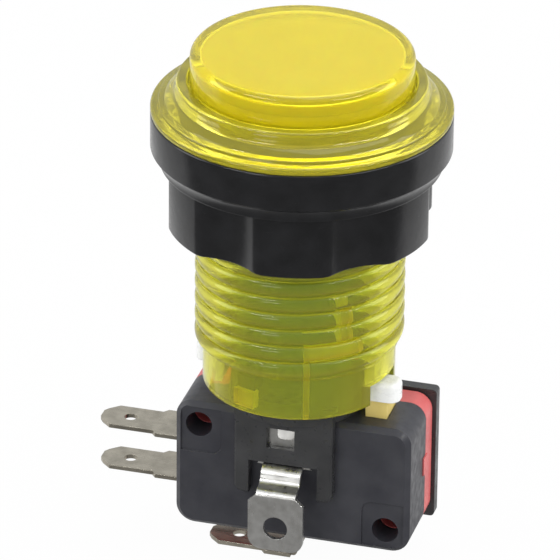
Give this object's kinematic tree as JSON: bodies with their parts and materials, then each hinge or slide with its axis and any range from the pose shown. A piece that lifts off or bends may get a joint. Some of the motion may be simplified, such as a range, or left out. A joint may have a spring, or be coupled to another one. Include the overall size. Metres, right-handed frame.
{
  "type": "illuminated push button",
  "caption": "Round lit push button with a clear threaded bezel, clamping nut, sprung cap, lamp holder and microswitch.",
  "frame": {"origin": "on the button's axis, in the plane where the underside of the bezel sits on the panel", "axes": "+Z out of the panel towards the finger, +X along the microswitch away from its side terminals, -Y towards the front lamp terminal"},
  "size_m": [0.0405, 0.034, 0.0635],
  "materials": {
    "clear_yellow": "clear gloss",
    "black_nut": "semi gloss",
    "black_case": "fine satin",
    "red_plastic": "satin",
    "white_plastic": "milky gloss",
    "cream_plastic": "milky satin",
    "nickel_strip": "nickel plated",
    "spring_steel": "drawn wire",
    "copper_alloy": "bright strip",
    "contact_silver": "polished",
    "lamp_clear": "clear gloss"
  },
  "bodies": {
    "housing": {"bezel": "clear_yellow", "lamp_holder": "black_case", "switch_case": "black_case", "switch_cover": "red_plastic", "com_terminal": "nickel_strip", "nc_terminal": "nickel_strip", "no_terminal": "nickel_strip", "nc_contact": "contact_silver", "no_contact": "contact_silver", "front_lamp_terminal": "nickel_strip", "rear_lamp_terminal": "nickel_strip", "lamp_base": "lamp_clear", "lamp_lead_front": "spring_steel", "lamp_lead_rear": "spring_steel", "bulb": "lamp_clear", "return_spring": "spring_steel", "bow_spring": "copper_alloy"},
    "cap": {"cap_lens": "clear_yellow", "diffuser": "white_plastic", "plunger": "white_plastic"},
    "switch_button": {"switch_button": "cream_plastic"},
    "blade": {"snap_blade": "copper_alloy", "moving_contact": "contact_silver"},
    "nut": {"panel_nut": "black_nut"}
  },
  "joints": [
    {"name": "cap_press", "type": "slide", "parent": "housing", "child": "cap", "axis": [0, 0, -1], "range_m": [0, 0.0022], "stiffness_N_per_m": 250, "springref_m": -0.003, "deforming": ["return_spring"]},
    {"name": "button_press", "type": "slide", "parent": "housing", "child": "switch_button", "axis": [0, 0, -1], "range_m": [0, 0.0022], "deforming": ["bow_spring"]},
    {"name": "blade_tilt", "type": "hinge", "parent": "housing", "child": "blade", "pos_m": [0.0122, 0, -0.04478], "axis": [0, -1, 0], "range_deg": [0, 3.4]},
    {"name": "nut_travel", "type": "slide", "parent": "housing", "child": "nut", "axis": [0, 0, -1], "range_m": [0, 0.014]}
  ],
  "couplings": [
    {"joint": "button_press", "follows": "cap_press", "ratio": 1},
    {"joint": "blade_tilt", "follows": "cap_press", "rad_per_m": 26.9}
  ]
}
